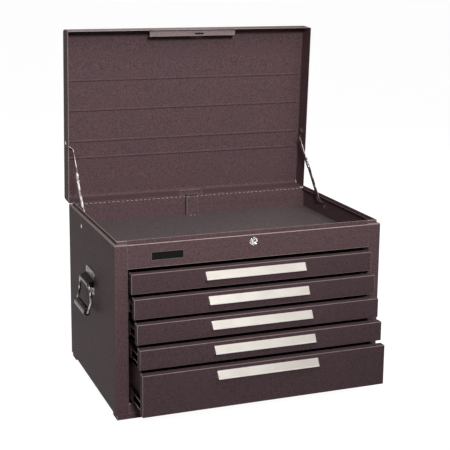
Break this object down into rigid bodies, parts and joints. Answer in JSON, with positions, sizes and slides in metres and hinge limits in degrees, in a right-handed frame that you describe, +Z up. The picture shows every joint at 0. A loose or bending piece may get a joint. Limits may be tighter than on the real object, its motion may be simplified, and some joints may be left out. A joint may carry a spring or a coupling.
{
  "type": "machinist tool chest",
  "caption": "Machinist tool chest in painted sheet steel: pull-out drawers on ball slides, a till under a hinged lid held by folding stays, a lock and a swinging handle at each side.",
  "frame": {"origin": "on the bench, at the middle of the underside of the front skid", "axes": "+X to the right of someone who faces the drawers, +Y from the drawers to the back, +Z up"},
  "size_m": [0.749, 0.6271, 0.8843],
  "materials": {
    "enamel": "fine wrinkle enamel, low sheen",
    "satin_nickel": "satin",
    "nickel_plate": "bright plate, slightly worn",
    "chrome": "polished",
    "zinc_plate": "bright zinc plate",
    "spring_steel": "oiled",
    "mat": "thin matt liner",
    "black_plate": "gloss black"
  },
  "bodies": {
    "case": {"case_shell": "enamel", "top_rail": "enamel", "bottom_rail": "enamel", "bottom_pan": "enamel", "skids": "enamel", "till_floor": "enamel", "till_mat": "mat", "slide_posts": "enamel", "slide_case_rails": "zinc_plate", "hinge_case_leaf": "enamel", "hinge_pin": "zinc_plate", "nameplate": "black_plate", "lock_housing": "chrome", "lock_bar_guides": "enamel", "lock_bar_spring": "spring_steel", "stay_case_rivets": "zinc_plate", "handle_plates": "nickel_plate", "handle_rivets": "nickel_plate"},
    "lid": {"lid_shell": "enamel", "hinge_lid_leaf": "enamel", "lid_strike": "enamel", "lock_bar_striker": "enamel", "stay_lid_rivets": "zinc_plate"},
    "lock_core": {"lock_plug": "chrome", "lock_cam": "zinc_plate"},
    "lock_bar": {"lock_bar": "zinc_plate"},
    "stay_lower_left": {"stay_lower_left": "zinc_plate"},
    "stay_lower_right": {"stay_lower_right": "zinc_plate"},
    "stay_upper_left": {"stay_upper_left": "zinc_plate"},
    "stay_upper_right": {"stay_upper_right": "zinc_plate"},
    "handle_left": {"handle_bail_left": "nickel_plate", "handle_grip_left": "nickel_plate"},
    "handle_right": {"handle_bail_right": "nickel_plate", "handle_grip_right": "nickel_plate"},
    "drawer_1": {"drawer_front_1": "enamel", "drawer_box_1": "enamel", "drawer_pull_1": "satin_nickel", "drawer_rails_1": "zinc_plate"},
    "middle_slides_1": {"middle_rails_1": "zinc_plate"},
    "drawer_2": {"drawer_front_2": "enamel", "drawer_box_2": "enamel", "drawer_pull_2": "satin_nickel", "drawer_rails_2": "zinc_plate"},
    "middle_slides_2": {"middle_rails_2": "zinc_plate"},
    "drawer_3": {"drawer_front_3": "enamel", "drawer_box_3": "enamel", "drawer_pull_3": "satin_nickel", "drawer_rails_3": "zinc_plate"},
    "middle_slides_3": {"middle_rails_3": "zinc_plate"},
    "drawer_4": {"drawer_front_4": "enamel", "drawer_box_4": "enamel", "drawer_pull_4": "satin_nickel", "drawer_rails_4": "zinc_plate"},
    "middle_slides_4": {"middle_rails_4": "zinc_plate"},
    "drawer_5": {"drawer_front_5": "enamel", "drawer_box_5": "enamel", "drawer_pull_5": "satin_nickel", "drawer_rails_5": "zinc_plate"},
    "middle_slides_5": {"middle_rails_5": "zinc_plate"}
  },
  "joints": [
    {"name": "lid_hinge", "type": "hinge", "parent": "case", "child": "lid", "pos_m": [0, 0.43855, 0.425], "axis": [-1, 0, 0], "range_deg": [-87, 0]},
    {"name": "lock_turn", "type": "hinge", "parent": "case", "child": "lock_core", "pos_m": [0, -0.019, 0.4087], "axis": [0, -1, 0], "range_deg": [0, 68]},
    {"name": "lock_bar_slide", "type": "slide", "parent": "case", "child": "lock_bar", "axis": [0, 0, 1], "range_m": [-0.00702, 0], "deforming": ["lock_bar_spring"]},
    {"name": "stay_lower_left_pivot", "type": "hinge", "parent": "case", "child": "stay_lower_left", "pos_m": [-0.3405, 0.297, 0.398], "axis": [-1, 0, 0], "range_deg": [-125.06, 0]},
    {"name": "stay_upper_left_pivot", "type": "hinge", "parent": "lid", "child": "stay_upper_left", "pos_m": [-0.3405, 0.46014, 0.58635], "axis": [-1, 0, 0], "range_deg": [0, 114.55]},
    {"name": "handle_left_swing", "type": "hinge", "parent": "case", "child": "handle_left", "pos_m": [-0.357, 0.2095, 0.28], "axis": [0, 1, 0], "range_deg": [0, 90]},
    {"name": "stay_lower_right_pivot", "type": "hinge", "parent": "case", "child": "stay_lower_right", "pos_m": [0.3405, 0.297, 0.398], "axis": [-1, 0, 0], "range_deg": [-125.06, 0]},
    {"name": "stay_upper_right_pivot", "type": "hinge", "parent": "lid", "child": "stay_upper_right", "pos_m": [0.3405, 0.46014, 0.58635], "axis": [-1, 0, 0], "range_deg": [0, 114.55]},
    {"name": "handle_right_swing", "type": "hinge", "parent": "case", "child": "handle_right", "pos_m": [0.357, 0.2095, 0.28], "axis": [0, -1, 0], "range_deg": [0, 90]},
    {"name": "drawer_1_slide", "type": "slide", "parent": "case", "child": "drawer_1", "axis": [0, -1, 0], "range_m": [-0.02109, 0.34891]},
    {"name": "middle_1_slide", "type": "slide", "parent": "case", "child": "middle_slides_1", "axis": [0, -1, 0], "range_m": [-0.01056, 0.17447]},
    {"name": "drawer_2_slide", "type": "slide", "parent": "case", "child": "drawer_2", "axis": [0, -1, 0], "range_m": [-0.04329, 0.32671]},
    {"name": "middle_2_slide", "type": "slide", "parent": "case", "child": "middle_slides_2", "axis": [0, -1, 0], "range_m": [-0.02166, 0.16337]},
    {"name": "drawer_3_slide", "type": "slide", "parent": "case", "child": "drawer_3", "axis": [0, -1, 0], "range_m": [-0.06475, 0.30525]},
    {"name": "middle_3_slide", "type": "slide", "parent": "case", "child": "middle_slides_3", "axis": [0, -1, 0], "range_m": [-0.03238, 0.15263]},
    {"name": "drawer_4_slide", "type": "slide", "parent": "case", "child": "drawer_4", "axis": [0, -1, 0], "range_m": [-0.0851, 0.2849]},
    {"name": "middle_4_slide", "type": "slide", "parent": "case", "child": "middle_slides_4", "axis": [0, -1, 0], "range_m": [-0.04256, 0.14246]},
    {"name": "drawer_5_slide", "type": "slide", "parent": "case", "child": "drawer_5", "axis": [0, -1, 0], "range_m": [-0.10508, 0.26492]},
    {"name": "middle_5_slide", "type": "slide", "parent": "case", "child": "middle_slides_5", "axis": [0, -1, 0], "range_m": [-0.05255, 0.13247]}
  ],
  "couplings": [
    {"joint": "lock_bar_slide", "follows": "lid_hinge", "m_per_rad": 0.00461},
    {"joint": "stay_lower_left_pivot", "follows": "lid_hinge", "ratio": 1.4371},
    {"joint": "stay_upper_left_pivot", "follows": "lid_hinge", "ratio": -1.3171},
    {"joint": "stay_lower_right_pivot", "follows": "lid_hinge", "ratio": 1.4371},
    {"joint": "stay_upper_right_pivot", "follows": "lid_hinge", "ratio": -1.3171},
    {"joint": "middle_1_slide", "follows": "drawer_1_slide", "ratio": 0.5},
    {"joint": "middle_2_slide", "follows": "drawer_2_slide", "ratio": 0.5},
    {"joint": "middle_3_slide", "follows": "drawer_3_slide", "ratio": 0.5},
    {"joint": "middle_4_slide", "follows": "drawer_4_slide", "ratio": 0.5},
    {"joint": "middle_5_slide", "follows": "drawer_5_slide", "ratio": 0.5}
  ]
}
